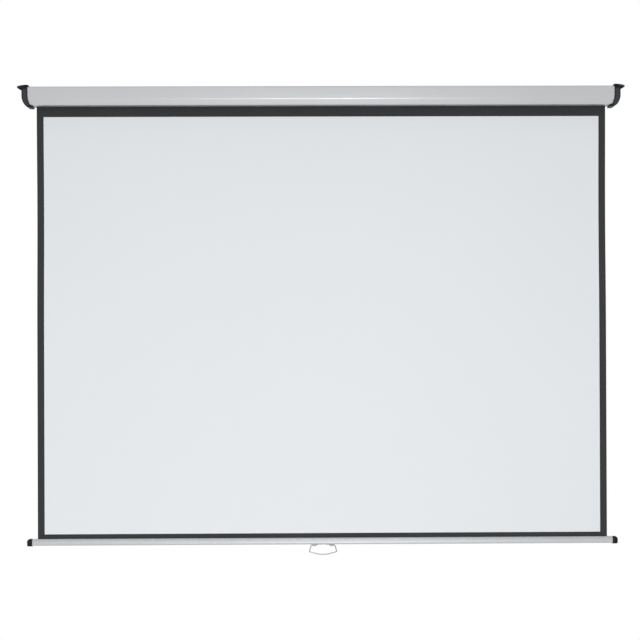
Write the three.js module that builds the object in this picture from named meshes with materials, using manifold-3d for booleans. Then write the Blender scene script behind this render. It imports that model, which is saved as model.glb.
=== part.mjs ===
import * as THREE from 'three';
import { mergeVertices } from 'three/addons/utils/BufferGeometryUtils.js';
import Module from 'manifold-3d';

// A pull-down projection screen for a wall or a ceiling, with a spring roller in an aluminium housing.
// Millimetres. X runs along the housing, -Y faces the viewer, +Z is up.
// The origin is on the wall plane, level with the roller's axis, halfway along the housing.

const wasm = await Module();
wasm.setup();

// Picture surface: a 4:3 white area with a black border, drawn fully down
const pictureWidth = 1464;
const pictureHeight = 1098;
const sideBorder = 18;
const topBorder = 26.2;
const bottomBorder = 12;
const sheetThickness = 0.45;
const borderFilm = 0.15;

// Clearances
const fitGap = 0.3;
const cutOverrun = 1;
const leastStep = 0.01;

// Housing extrusion
const housingHeight = 49;
const housingDepth = 53;
const housingWall = 1.2;
const housingTopRadius = 5;
const creaseDrop = 33.2;
const lowerSlantRun = 6.8;
const lowerCornerCut = 4;
const slotFront = 18;
const slotBack = 3.5;
const slotLipHeight = 4;
const sheetEndRoom = 18.5;

// Screw channels in the housing's two upper corners
const channelHoleRadius = 1.7;
const frontChannelRadius = 4;
const backChannelRadius = 3.6;
const backChannelInset = 4.6;
const channelSlit = 1.6;

// End caps
const capLength = 14;
const capWall = 2.5;
const capLip = 1.6;
const capSkirtDrop = 4.2;
const capCurveStart = 24;
const capCurveWidth = 18;
const capLipWidth = 15;
const capLipCurveStart = 18.5;
const tongueReach = 26;
const bossRadius = 9;
const bossGap = 1.9;
const capRibThickness = 1.6;
const capRibHeight = 5;
const screwPostRadius = 3.7;

// Ears on the end caps
const earReach = 16;
const earPlate = 3.8;
const earTipDepth = 28;
const earRearRadius = 3;
const earSweepReach = 4;
const earSweepDepth = 48;
const flangeShoulder = 8;
const flangeReach = 16.5;
const flangeCorner = 2;
const webThickness = 3;
const webDrop = 8.5;
const webTipInset = 0.5;
const earSlotWidth = 6;
const earSlotLength = 12;
const earSlotInset = 8;
const earSlotDepth = 14;

// Cap screws
const screwHeadRadius = 3.1;
const screwHeadHeight = 2;
const screwRecess = 2.4;
const screwShankRadius = 1.35;
const screwLength = 22;

// Roller: the rolled-up cloth fills the housing but for these gaps
const rollFrontGap = 4.475;
const rollBackGap = 10.675;
const rollTopGap = 3.675;
const rollBottomGap = 6.275;
const tubeWall = 1;
const tubeOverhang = 7;
const wrapTurns = 1.5;
const wrapGap = 0.5;
const plugFlange = 4;
const plugBodyLength = 20;
const idlerPinRadius = 3;
const idlerPinSeat = 18;
const bushWall = 2.4;
const bushInset = 0.6;

// Spring motor in the right-hand end of the roller
const spindleRadius = 3;
const spindleRunningGap = 0.4;
const tangThickness = 2.8;
const hubShare = 0.5;
const pawlNoseGap = 0.5;
const pawlBackGap = 1.4;
const pawlRimGap = 2;
const pawlPinShare = 0.3043;
const springShare = 0.6;
const anchorCollarShare = 0.75;
const hubThickness = 5;
const notchDepth = 2.2;
const pawlThickness = 4;
const pawlPivotAngle = THREE.MathUtils.degToRad(115);
const pawlNoseAngle = THREE.MathUtils.degToRad(66);
const pawlToothAngle = THREE.MathUtils.degToRad(76);
const pawlTailAngle = THREE.MathUtils.degToRad(126);
const notchAngle = THREE.MathUtils.degToRad(50);
const pawlTurns = { upper: 0, lower: Math.PI };
const pinHeadHeight = 1;
const pinSeat = 3.4;
const clipRadius = 5.6;
const clipThickness = 1;
const springWireRadius = 1;
const springPitch = 6.2;
const springCurls = 44;
const seatedCurls = 3;
const anchorCollarLength = 8;
const centreBushLength = 8;

// Bottom bar
const barHeight = 17.5;
const barTopHalfDepth = 3.2;
const barShoulderDrop = 4;
const barShoulderHalfDepth = 7;
const barGroove = 0.4;
const barBulgeHalfDepth = 7.9;
const barLowerDrop = 12.5;
const barLowerHalfDepth = 7.2;
const barFootHalfDepth = 4;
const barShoulderShare = 0.88;
const barOverhang = 14;
const barSlotWidth = 2.2;
const rodDrop = 6.2;
const rodRadius = 2.2;
const rodEndRoom = 2;
const chamberWidth = 8;
const chamberHeight = 3.8;
const chamberFloor = 1.5;
const chamberRadius = 1;

// Bar end caps
const barCapLength = 13;
const barCapProud = 1.6;
const barCapTopRadius = 6.5;
const barCapFootRadius = 4;
const barCapPlug = 10;

// Pull handle and its bracket
const wireRadius = 1.35;
const bracketPlate = 1;
const bracketHalfWidth = 3.8;
const knuckleRadius = 2.5;
const knuckleOuter = 28;
const footGap = 1.5;
const footProud = 1.8;
const shoulderGap = 3;
const handleHalfWidth = 36.4;
const handleCornerDrop = 17.3;
const handleGripHalf = 9.5;
const handleGripDrop = 24.1;
const handleBend = 2.6;
const rivetOffset = 13;
const rivetRadius = 1.2;
const rivetHeadRadius = 2.1;
const rivetHeadHeight = 1.5;
const rivetTail = 1;
const rivetDomeShare = 0.55;
const rivetRimShare = 0.4;

// Facet counts
const arcSteps = 5;
const roundSides = 20;
const tubeSides = 32;
const barCurveSteps = 6;
const chamberArcSteps = 2;
const wrapSteps = 24;
const curlSteps = 8;
const wireSides = 5;
const handleSides = 8;
const handleSteps = 64;

// Sizes and places that follow from the ones above
const sheetWidth = pictureWidth + 2 * sideBorder;
const housingLength = sheetWidth + 2 * sheetEndRoom;
const housingEnd = housingLength / 2;
const wrapPitch = sheetThickness + wrapGap;
const rollRoomAcross = housingDepth - housingWall - rollFrontGap - rollBackGap;
const rollRoomUp = housingHeight - 2 * housingWall - rollTopGap - rollBottomGap;
const wrapOuter = Math.min(rollRoomAcross, rollRoomUp) / 2;
const wrapInner = wrapOuter - wrapTurns * wrapPitch - sheetThickness;
const tubeRadius = wrapInner - sheetThickness;
const axisDepth = rollBackGap + wrapOuter;
const axisDrop = housingWall + rollTopGap + wrapOuter;
const housingTop = axisDrop;
const housingBottom = axisDrop - housingHeight;
const capSide = housingEnd + capLength;
const capBottom = housingBottom - fitGap - capSkirtDrop;
const capFront = -housingDepth - capLip;
const earTop = housingTop + earPlate;
const tubeEnd = sheetWidth / 2 + tubeOverhang;
const filmFront = -axisDepth + wrapOuter + fitGap;
const sheetFront = filmFront + borderFilm;
const sheetBack = sheetFront + sheetThickness;
const sheetMid = (sheetFront + sheetBack) / 2;
const pictureTop = housingBottom - topBorder;
const pictureBottom = pictureTop - pictureHeight;
const barTop = pictureBottom - bottomBorder;
const barBottom = barTop - barHeight;
const barEnd = sheetWidth / 2 + barOverhang;
const rodLevel = barTop - rodDrop;
const hemInner = rodRadius + fitGap;
const hemOuter = hemInner + sheetThickness;
const hemChannel = hemOuter + fitGap;
const pivotLevel = barBottom - knuckleRadius;
const handleFootInner = rivetOffset + rivetHeadRadius + footGap;
const knuckleInner = handleFootInner + footProud;
const handleShoulder = knuckleOuter + shoulderGap;
const plugFace = tubeEnd + plugFlange;
const hubStart = plugFace + fitGap;
const hubEnd = hubStart + hubThickness;
const clipStart = hubEnd + fitGap;
const bossStart = clipStart + clipThickness + bossGap;
const innerWall = capSide - capWall;
const tangEnd = innerWall - fitGap;
const hubRadius = tubeRadius * hubShare;
const pawlNoseRadius = hubRadius + pawlNoseGap;
const pawlInnerRadius = hubRadius + pawlBackGap;
const pawlOuterRadius = tubeRadius - pawlRimGap;
const pawlPivotRadius = (pawlInnerRadius + pawlOuterRadius) / 2;
const pawlPinRadius = (pawlOuterRadius - pawlInnerRadius) * pawlPinShare;
const pinHeadRadius = (pawlOuterRadius - pawlInnerRadius) / 2;
const springRadius = tubeRadius * springShare;
const anchorCollarRadius = tubeRadius * anchorCollarShare;
const springSeatRadius = springRadius * Math.cos(Math.PI / curlSteps) - springWireRadius - fitGap;
const springStart = tubeEnd - plugBodyLength - springWireRadius - fitGap;
const springEnd = springStart - springCurls * springPitch;
const anchorLeft = springEnd - springWireRadius - fitGap - anchorCollarLength;
const spindleLeft = anchorLeft - centreBushLength - cutOverrun;
const screwSeat = capSide - screwRecess;

const screwPlaces = [
  { name: 'front', y: -housingDepth + housingTopRadius, z: housingTop - housingTopRadius },
  { name: 'back', y: -backChannelInset, z: housingTop - backChannelInset },
];

// Finishes
const anodised = { color: 0xb4b6b8, roughness: 0.42, metalness: 0.85 };
const capPlastic = { color: 0x2b2c30, roughness: 0.6, metalness: 0 };
const steel = { color: 0x9a9b9d, roughness: 0.35, metalness: 1 };
const springSteel = { color: 0x6f7174, roughness: 0.4, metalness: 1 };
const whiteSheet = { color: 0xe6e9ea, roughness: 0.95, metalness: 0 };
const blackFilm = { color: 0x1d1e20, roughness: 0.9, metalness: 0 };
const nylon = { color: 0xd9d6cc, roughness: 0.5, metalness: 0 };
const zincPlate = { color: 0xb9bbbd, roughness: 0.3, metalness: 1 };

// Turns a closed geometry into a solid that can be joined and cut
function solidOf(geometry) {
  const bare = geometry.clone();
  bare.deleteAttribute('normal');
  bare.deleteAttribute('uv');
  const merged = mergeVertices(bare);
  const mesh = new wasm.Mesh({
    numProp: 3,
    vertProperties: new Float32Array(merged.attributes.position.array),
    triVerts: new Uint32Array(merged.index.array),
  });
  return new wasm.Manifold(mesh);
}

// Turns a solid back into a geometry
function geometryOf(solid) {
  const mesh = solid.getMesh();
  const geometry = new THREE.BufferGeometry();
  geometry.setAttribute('position', new THREE.BufferAttribute(mesh.vertProperties, 3));
  geometry.setIndex(new THREE.BufferAttribute(mesh.triVerts, 1));
  geometry.computeVertexNormals();
  return geometry;
}

// Joins geometries that overlap
function join(...geometries) {
  const [first, ...others] = geometries.map(solidOf);
  return geometryOf(others.reduce((whole, next) => whole.add(next), first));
}

// Cuts the later geometries out of the first
function cut(body, ...cutters) {
  return geometryOf(cutters.map(solidOf).reduce((whole, next) => whole.subtract(next), solidOf(body)));
}

// Keeps what two geometries share
function common(first, second) {
  return geometryOf(solidOf(first).intersect(solidOf(second)));
}

// Points of an outline without the doubles where one curve meets the next
function spaced(points) {
  return points.filter((point, index) => point.distanceTo(points.at(index - 1)) > leastStep);
}

// Extrudes an outline along its own third axis
function extruded(shape, depth, curveSegments) {
  const { shape: rim, holes } = shape.extractPoints(curveSegments);
  const outline = new THREE.Shape(spaced(rim));
  outline.holes = holes.map((hole) => new THREE.Path(spaced(hole)));
  return new THREE.ExtrudeGeometry(outline, { depth, bevelEnabled: false });
}

// Extrudes an outline drawn in Y and Z along X
function alongX(shape, from, to, curveSegments = arcSteps) {
  const geometry = extruded(shape, to - from, curveSegments);
  const across = new THREE.Vector3(0, 1, 0);
  const up = new THREE.Vector3(0, 0, 1);
  const along = new THREE.Vector3(1, 0, 0);
  geometry.applyMatrix4(new THREE.Matrix4().makeBasis(across, up, along));
  return geometry.translate(from, 0, 0);
}

// Extrudes an outline drawn in X and Z along Y
function alongY(shape, from, to, curveSegments = arcSteps) {
  const geometry = extruded(shape, to - from, curveSegments);
  geometry.rotateX(Math.PI / 2);
  return geometry.translate(0, to, 0);
}

// Extrudes an outline drawn in X and Y along Z
function alongZ(shape, from, to, curveSegments = arcSteps) {
  const geometry = extruded(shape, to - from, curveSegments);
  return geometry.translate(0, 0, from);
}

// A box given by its lowest and highest corner
function block(low, high) {
  const geometry = new THREE.BoxGeometry(high[0] - low[0], high[1] - low[1], high[2] - low[2]);
  return geometry.translate((low[0] + high[0]) / 2, (low[1] + high[1]) / 2, (low[2] + high[2]) / 2);
}

// A round rod along X
function rodX(radius, from, to, y, z, sides = roundSides) {
  const geometry = new THREE.CylinderGeometry(radius, radius, to - from, sides);
  geometry.rotateZ(-Math.PI / 2);
  return geometry.translate((from + to) / 2, y, z);
}

// A round rod along Z
function rodZ(radius, x, y, from, to, sides = roundSides) {
  const geometry = new THREE.CylinderGeometry(radius, radius, to - from, sides);
  geometry.rotateX(Math.PI / 2);
  return geometry.translate(x, y, (from + to) / 2);
}

// Turns a profile of [x, radius] steps about a line along X
function turnedX(profile, y, z, sides = roundSides) {
  const points = profile.map(([x, radius]) => new THREE.Vector2(radius, x));
  const geometry = new THREE.LatheGeometry(points, sides);
  geometry.rotateZ(-Math.PI / 2);
  return geometry.translate(0, y, z);
}

// A sleeve along X
function sleeveX(outer, inner, from, to, y, z, sides = roundSides) {
  const profile = [[from, inner], [from, outer], [to, outer], [to, inner], [from, inner]];
  return turnedX(profile, y, z, sides);
}

// Mirrors a geometry to the other end of the housing and turns its faces out again
function mirrored(geometry) {
  const flipped = geometry.clone().scale(-1, 1, 1);
  const unshared = [...Array(flipped.attributes.position.count).keys()];
  const order = flipped.index ? Array.from(flipped.index.array) : unshared;
  for (let corner = 0; corner < order.length; corner += 3) {
    [order[corner + 1], order[corner + 2]] = [order[corner + 2], order[corner + 1]];
  }
  flipped.setIndex(order);
  flipped.computeVertexNormals();
  return flipped;
}

// A rectangle about a centre
function rectangle(x, y, width, height) {
  const shape = new THREE.Shape();
  shape.moveTo(x - width / 2, y - height / 2);
  shape.lineTo(x + width / 2, y - height / 2);
  shape.lineTo(x + width / 2, y + height / 2);
  shape.lineTo(x - width / 2, y + height / 2);
  return shape;
}

// The housing's outline from the side, grown by an even margin
function caseOutline(grow, extraDrop = 0) {
  const lean = Math.atan2(lowerSlantRun, housingHeight - creaseDrop);
  const top = housingTop + grow;
  const bottom = housingBottom - grow - extraDrop;
  const front = -housingDepth - grow;
  const crease = housingTop - creaseDrop - grow * Math.tan(lean / 2);
  const foot = front + (crease - bottom) * Math.tan(lean);
  const radius = housingTopRadius + grow;
  const shape = new THREE.Shape();
  shape.moveTo(grow, bottom);
  shape.lineTo(foot + lowerCornerCut, bottom);
  const cornerY = foot - lowerCornerCut * Math.sin(lean);
  const cornerZ = bottom + lowerCornerCut * Math.cos(lean);
  shape.quadraticCurveTo(foot, bottom, cornerY, cornerZ);
  shape.lineTo(front, crease);
  shape.lineTo(front, top - radius);
  shape.absarc(front + radius, top - radius, radius, Math.PI, Math.PI / 2, true);
  shape.lineTo(grow, top);
  return shape;
}

// The extruded shell with its cloth slot, slot lip and screw channels
function housingGeometry() {
  const past = housingEnd + cutOverrun;
  const outer = alongX(caseOutline(0), -housingEnd, housingEnd);
  let shell = cut(outer, alongX(caseOutline(-housingWall), -past, past));
  shell = cut(shell, block(
    [-past, -slotFront, housingBottom - cutOverrun],
    [past, -slotBack, housingBottom + housingWall + cutOverrun],
  ));
  const lip = block(
    [-housingEnd, -slotFront - housingWall, housingBottom],
    [housingEnd, -slotFront, housingBottom + slotLipHeight],
  );
  const channels = screwPlaces.map((place) => screwChannel(place, outer));
  shell = join(shell, lip, ...channels);
  return cut(shell, ...screwPlaces.map(channelBore));
}

// One screw channel's round wall, kept within the housing's outline
function screwChannel(place, outer) {
  const radius = place.name === 'front' ? frontChannelRadius : backChannelRadius;
  return common(rodX(radius, -housingEnd, housingEnd, place.y, place.z), outer);
}

// The hole of a screw channel and the slit that opens it towards the roller
function channelBore(place) {
  const past = housingEnd + cutOverrun;
  const bore = rodX(channelHoleRadius, -past, past, place.y, place.z);
  const slit = block(
    [-past, place.y - channelSlit / 2, place.z - frontChannelRadius - cutOverrun],
    [past, place.y + channelSlit / 2, place.z],
  );
  return join(bore, slit);
}

// The end cap's outline from the front: straight side, rounded lower corner and a tongue underneath
function capOutline() {
  const level = housingTop - capCurveStart;
  const innerLevel = housingTop - capLipCurveStart;
  const inner = capSide - capLipWidth;
  const tipRadius = capSkirtDrop / 2;
  const tipCentre = capSide - tongueReach + tipRadius;
  const shape = new THREE.Shape();
  shape.moveTo(capSide, earTop);
  shape.lineTo(capSide, level);
  shape.absellipse(capSide - capCurveWidth, level, capCurveWidth, level - capBottom, 0, -Math.PI / 2, true);
  shape.lineTo(tipCentre, capBottom);
  shape.absarc(tipCentre, capBottom + tipRadius, tipRadius, -Math.PI / 2, Math.PI / 2, true);
  const innerDrop = innerLevel - capBottom - capSkirtDrop;
  shape.absellipse(tipCentre, innerLevel, inner - tipCentre, innerDrop, -Math.PI / 2, 0, false);
  shape.lineTo(inner, earTop);
  return shape;
}

// The hollow inside the end cap, seen from the front
function pocketOutline() {
  const level = housingTop - capCurveStart;
  const drop = level - capBottom - capWall;
  const shape = new THREE.Shape();
  shape.moveTo(innerWall, housingTop);
  shape.lineTo(innerWall, level);
  shape.absellipse(capSide - capCurveWidth, level, capCurveWidth - capWall, drop, 0, -Math.PI / 2, true);
  shape.lineTo(capSide - tongueReach, level - drop);
  shape.lineTo(capSide - tongueReach, housingTop);
  return shape;
}

// The flange and ear on top of the end cap, seen from above
function earOutline() {
  const inner = capSide - flangeReach;
  const tip = capSide + earReach;
  const shape = new THREE.Shape();
  shape.moveTo(inner, 0);
  shape.lineTo(tip - earRearRadius, 0);
  shape.absarc(tip - earRearRadius, -earRearRadius, earRearRadius, Math.PI / 2, 0, true);
  shape.lineTo(tip, -earTipDepth);
  shape.quadraticCurveTo(capSide + earSweepReach, -earSweepDepth, capSide - flangeShoulder, capFront);
  shape.lineTo(inner + flangeCorner, capFront);
  shape.absarc(inner + flangeCorner, capFront + flangeCorner, flangeCorner, -Math.PI / 2, -Math.PI, true);
  return shape;
}

// A three-cornered web that props the ear against the cap's side
function earWeb(back) {
  const shape = new THREE.Shape();
  shape.moveTo(capSide - cutOverrun, housingTop + cutOverrun);
  shape.lineTo(capSide + earReach - webTipInset, housingTop + cutOverrun);
  shape.lineTo(capSide + earReach - webTipInset, housingTop);
  shape.lineTo(capSide, housingTop - webDrop);
  shape.lineTo(capSide - cutOverrun, housingTop - webDrop);
  return alongY(shape, back - webThickness, back);
}

// The long slot in the ear that a screw or a hook goes through
function earSlot() {
  const x = capSide + earSlotInset;
  const half = (earSlotLength - earSlotWidth) / 2;
  const radius = earSlotWidth / 2;
  const shape = new THREE.Shape();
  shape.absarc(x, -earSlotDepth + half, radius, 0, Math.PI, false);
  shape.absarc(x, -earSlotDepth - half, radius, Math.PI, 2 * Math.PI, false);
  return alongZ(shape, housingTop - cutOverrun, earTop + cutOverrun);
}

// The bearing boss, its ribs and the screw posts inside an end cap
function capInnards() {
  const ribStart = innerWall - capRibHeight;
  const boss = rodX(bossRadius, bossStart, capSide - capWall / 2, -axisDepth, 0);
  const upright = block(
    [ribStart, -axisDepth - capRibThickness / 2, housingBottom],
    [innerWall + cutOverrun, -axisDepth + capRibThickness / 2, housingTop],
  );
  const level = block(
    [ribStart, -housingDepth, -capRibThickness / 2],
    [innerWall + cutOverrun, -cutOverrun, capRibThickness / 2],
  );
  const posts = screwPlaces.map(({ y, z }) => (
    rodX(screwPostRadius, housingEnd + fitGap, capSide - capWall / 2, y, z)
  ));
  return join(boss, upright, level, ...posts);
}

// The clearance hole and head recess of each cap screw
function screwCutters() {
  return screwPlaces.map(({ y, z }) => join(
    rodX(screwShankRadius + fitGap, housingEnd, screwSeat + cutOverrun, y, z),
    rodX(screwHeadRadius + fitGap, screwSeat, capSide + cutOverrun, y, z),
  ));
}

// The right-hand end cap around a given socket for the roller's end
function endCapGeometry(socket) {
  const inward = capSide - tongueReach - cutOverrun;
  const side = alongX(caseOutline(capLip, fitGap + capSkirtDrop - capLip), inward, capSide + cutOverrun);
  const front = alongY(capOutline(), capFront - cutOverrun, 0);
  const moulding = common(side, front);
  const ear = alongZ(earOutline(), housingTop, earTop);
  const webs = [earWeb(0), earWeb(-earTipDepth + webThickness)];
  const hollow = common(
    alongX(caseOutline(-capWall), housingEnd - capWall, innerWall),
    alongY(pocketOutline(), -housingDepth, 0),
  );
  const envelope = alongX(caseOutline(fitGap), inward, housingEnd + fitGap);
  const shell = cut(join(moulding, ear, ...webs), hollow, envelope, earSlot());
  const innards = common(capInnards(), moulding);
  return cut(join(shell, innards), socket, ...screwCutters());
}

// The flat-sided socket that stops the spring spindle from turning
function spindleSocket() {
  const halfDepth = spindleRadius + fitGap;
  const halfHeight = tangThickness / 2 + fitGap;
  return block(
    [bossStart - cutOverrun, -axisDepth - halfDepth, -halfHeight],
    [innerWall, -axisDepth + halfDepth, halfHeight],
  );
}

// The round socket for the idler bush, made at the right-hand end and mirrored with its cap
function bushSocket() {
  const radius = idlerPinRadius + fitGap + bushWall + fitGap;
  return rodX(radius, bossStart - cutOverrun, innerWall, -axisDepth, 0);
}

// A pan-head screw that holds a cap to the housing
function capScrewGeometry({ y, z }) {
  const tip = screwSeat - screwLength;
  const head = screwSeat + screwHeadHeight;
  return turnedX([
    [tip, 0],
    [tip + screwShankRadius, screwShankRadius],
    [screwSeat, screwShankRadius],
    [screwSeat, screwHeadRadius],
    [screwSeat + screwHeadHeight / 2, screwHeadRadius],
    [head, screwHeadRadius / 2],
    [head, 0],
  ], y, z);
}

// The plug in each end of the roller tube, with a spring seat on the right-hand one
function plugGeometry(seatLength, bore) {
  const body = tubeRadius - tubeWall - fitGap;
  const bodyEnd = tubeEnd - plugBodyLength;
  const profile = [
    [bodyEnd - seatLength, bore],
    [bodyEnd - seatLength, springSeatRadius],
    [bodyEnd, springSeatRadius],
    [bodyEnd, body],
    [tubeEnd, body],
    [tubeEnd, tubeRadius],
    [plugFace, tubeRadius],
    [plugFace, bore],
    [bodyEnd - seatLength, bore],
  ];
  return turnedX(profile, -axisDepth, 0, tubeSides);
}

// The pawl pivots' places in Y and Z, on opposite sides of the axis
function pawlPivot(turn) {
  const angle = pawlPivotAngle + turn;
  return { y: -axisDepth + pawlPivotRadius * Math.cos(angle), z: pawlPivotRadius * Math.sin(angle) };
}

function motorPlugGeometry() {
  const plug = plugGeometry(seatedCurls * springPitch, spindleRadius + spindleRunningGap);
  const holes = Object.values(pawlTurns).map((turn) => {
    const { y, z } = pawlPivot(turn);
    return rodX(pawlPinRadius + fitGap, plugFace - pinSeat - fitGap, plugFace + cutOverrun, y, z);
  });
  return cut(plug, ...holes);
}

// The fixed ratchet with two saw-tooth notches, on the spindle's flat end
function ratchetHubGeometry() {
  const shape = new THREE.Shape();
  const floor = hubRadius - notchDepth;
  shape.moveTo(-axisDepth + floor, 0);
  for (const turn of [0, Math.PI]) {
    shape.lineTo(-axisDepth + floor * Math.cos(turn), floor * Math.sin(turn));
    shape.lineTo(-axisDepth + hubRadius * Math.cos(turn), hubRadius * Math.sin(turn));
    shape.absarc(-axisDepth, 0, hubRadius, turn, turn + Math.PI - notchAngle, false);
  }
  shape.holes.push(rectangle(-axisDepth, 0, 2 * (spindleRadius + fitGap), tangThickness + 2 * fitGap));
  return alongX(shape, hubStart, hubEnd);
}

// A pawl: a curved lever round the ratchet, with a nose at one end and a pivot hole near the other
function pawlGeometry(turn) {
  const shape = new THREE.Shape();
  shape.absarc(-axisDepth, 0, pawlOuterRadius, pawlNoseAngle + turn, pawlTailAngle + turn, false);
  shape.absarc(-axisDepth, 0, pawlInnerRadius, pawlTailAngle + turn, pawlToothAngle + turn, true);
  shape.absarc(-axisDepth, 0, pawlNoseRadius, pawlToothAngle + turn, pawlNoseAngle + turn, true);
  const { y, z } = pawlPivot(turn);
  const hole = new THREE.Path();
  hole.absarc(y, z, pawlPinRadius + fitGap, 0, 2 * Math.PI, true);
  shape.holes.push(hole);
  return alongX(shape, plugFace + fitGap, plugFace + fitGap + pawlThickness);
}

// The headed pin that a pawl swings on
function pawlPinGeometry(turn) {
  const { y, z } = pawlPivot(turn);
  const headStart = plugFace + fitGap + pawlThickness + fitGap;
  return turnedX([
    [plugFace - pinSeat, 0],
    [plugFace - pinSeat, pawlPinRadius],
    [headStart, pawlPinRadius],
    [headStart, pinHeadRadius],
    [headStart + pinHeadHeight, pinHeadRadius],
    [headStart + pinHeadHeight, 0],
  ], y, z);
}

// The fixed spindle: a round rod with a flat end that sits in the ratchet and the cap
function spindleGeometry() {
  const round = rodX(spindleRadius, spindleLeft, plugFace, -axisDepth, 0);
  const flat = block(
    [plugFace - cutOverrun, -axisDepth - spindleRadius, -tangThickness / 2],
    [tangEnd, -axisDepth + spindleRadius, tangThickness / 2],
  );
  return join(round, common(flat, rodX(spindleRadius, plugFace - cutOverrun, tangEnd, -axisDepth, 0)));
}

// The clip that keeps the ratchet on the spindle's flat end
function spindleClipGeometry() {
  const shape = new THREE.Shape();
  shape.absarc(-axisDepth, 0, clipRadius, 0, 2 * Math.PI, false);
  shape.holes.push(rectangle(-axisDepth, 0, 2 * (spindleRadius + fitGap), tangThickness + 2 * fitGap));
  return alongX(shape, clipStart, clipStart + clipThickness, roundSides / 2);
}

// The anchor that fixes the spring's inner end to the spindle
function anchorGeometry() {
  const collar = anchorLeft + anchorCollarLength;
  const end = springEnd + seatedCurls * springPitch;
  const bore = spindleRadius + fitGap;
  const profile = [
    [anchorLeft, bore],
    [anchorLeft, anchorCollarRadius],
    [collar, anchorCollarRadius],
    [collar, springSeatRadius],
    [end, springSeatRadius],
    [end, bore],
    [anchorLeft, bore],
  ];
  return turnedX(profile, -axisDepth, 0, tubeSides);
}

// The centre of the spring wire, at a count of curls from its right-hand end
function springPoint(curl) {
  const angle = 2 * Math.PI * curl;
  const x = springStart - curl * springPitch;
  return new THREE.Vector3(x, -axisDepth + springRadius * Math.cos(angle), springRadius * Math.sin(angle));
}

// The counterbalance spring as one unbroken tube of rings
function springGeometry() {
  const positions = [];
  const rings = springCurls * curlSteps;
  for (let ring = 0; ring <= rings; ring += 1) {
    const curl = ring / curlSteps;
    const angle = 2 * Math.PI * curl;
    const centre = springPoint(curl);
    for (let side = 0; side < wireSides; side += 1) {
      const around = (2 * Math.PI * side) / wireSides;
      const out = springWireRadius * Math.cos(around);
      positions.push(
        centre.x + springWireRadius * Math.sin(around),
        centre.y + out * Math.cos(angle),
        centre.z + out * Math.sin(angle),
      );
    }
  }
  const geometry = new THREE.BufferGeometry();
  geometry.setAttribute('position', new THREE.Float32BufferAttribute(positions, 3));
  geometry.setIndex(tubeFaces(rings, wireSides));
  geometry.computeVertexNormals();
  return geometry;
}

// Faces of a tube of rings, with both ends closed
function tubeFaces(rings, sides) {
  const faces = [];
  for (let ring = 0; ring < rings; ring += 1) {
    for (let side = 0; side < sides; side += 1) {
      const next = (side + 1) % sides;
      const a = ring * sides + side;
      const b = ring * sides + next;
      faces.push(a, a + sides, b, b, a + sides, b + sides);
    }
  }
  const last = rings * sides;
  for (let side = 1; side < sides - 1; side += 1) {
    faces.push(0, side, side + 1);
    faces.push(last, last + side + 1, last + side);
  }
  return faces;
}

// The least gap between one curl of the spring and the next
function springGap() {
  let least = Infinity;
  const steps = springCurls * curlSteps;
  for (let first = 0; first <= steps; first += 1) {
    const point = springPoint(first / curlSteps);
    const last = Math.min(steps, first + 2 * curlSteps);
    for (let second = first + curlSteps / 2; second <= last; second += 1) {
      least = Math.min(least, point.distanceTo(springPoint(second / curlSteps)));
    }
  }
  return least - 2 * springWireRadius;
}

// The turns of cloth that stay on the roller when the screen is fully down
function wrapsGeometry() {
  const outer = [];
  const inner = [];
  const steps = wrapTurns * wrapSteps;
  for (let step = 0; step <= steps; step += 1) {
    const angle = (2 * Math.PI * step) / wrapSteps;
    const radius = wrapOuter - (wrapPitch * step) / wrapSteps;
    const point = (r) => new THREE.Vector2(-axisDepth + r * Math.cos(angle), r * Math.sin(angle));
    outer.push(point(radius));
    inner.push(point(radius - sheetThickness));
  }
  return alongX(new THREE.Shape([...outer, ...inner.reverse()]), -sheetWidth / 2, sheetWidth / 2);
}

// The hanging cloth, from the roller down to the hem round the rod in the bar
function sheetGeometry() {
  const seam = Math.asin(sheetThickness / 2 / hemOuter);
  const shape = new THREE.Shape();
  shape.moveTo(sheetFront, 0);
  shape.lineTo(sheetFront, rodLevel + hemOuter * Math.cos(seam));
  shape.absarc(sheetMid, rodLevel, hemOuter, Math.PI / 2 + seam, Math.PI / 2 - seam + 2 * Math.PI, false);
  shape.lineTo(sheetBack, 0);
  const hole = new THREE.Path();
  hole.absarc(sheetMid, rodLevel, hemInner, 0, 2 * Math.PI, true);
  shape.holes.push(hole);
  return alongX(shape, -sheetWidth / 2, sheetWidth / 2);
}

// The black border laminated to the front of the cloth
function borderGeometry() {
  const low = barTop + fitGap;
  const high = housingBottom + slotLipHeight;
  const frame = rectangle(0, (low + high) / 2, sheetWidth, high - low);
  frame.holes.push(rectangle(0, (pictureTop + pictureBottom) / 2, pictureWidth, pictureHeight));
  return alongY(frame, filmFront, sheetFront);
}

// Half of the bar's section, from its top edge down to its foot, as Y and Z offsets
function barHalfOutline(grow) {
  const path = new THREE.Path();
  path.moveTo(-barTopHalfDepth - grow, 0);
  path.quadraticCurveTo(
    -barShoulderHalfDepth * barShoulderShare - grow,
    0,
    -barShoulderHalfDepth - grow,
    -barShoulderDrop,
  );
  path.lineTo(-barShoulderHalfDepth + barGroove - grow, -barShoulderDrop - barGroove);
  path.lineTo(-barShoulderHalfDepth - grow, -barShoulderDrop - 2 * barGroove);
  const bulgeLevel = (barShoulderDrop + barLowerDrop) / 2;
  path.quadraticCurveTo(-barBulgeHalfDepth - grow, -bulgeLevel, -barLowerHalfDepth - grow, -barLowerDrop);
  path.quadraticCurveTo(-barLowerHalfDepth - grow, -barHeight - grow, -barFootHalfDepth, -barHeight - grow);
  return path.getPoints(barCurveSteps);
}

// The bar's whole section about the cloth's plane
function barOutline(grow = 0) {
  const front = barHalfOutline(grow);
  const back = front.map((point) => new THREE.Vector2(-point.x, point.y)).reverse();
  const place = new THREE.Vector2(sheetMid, barTop);
  return new THREE.Shape([...front, ...back].map((point) => point.clone().add(place)));
}

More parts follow.
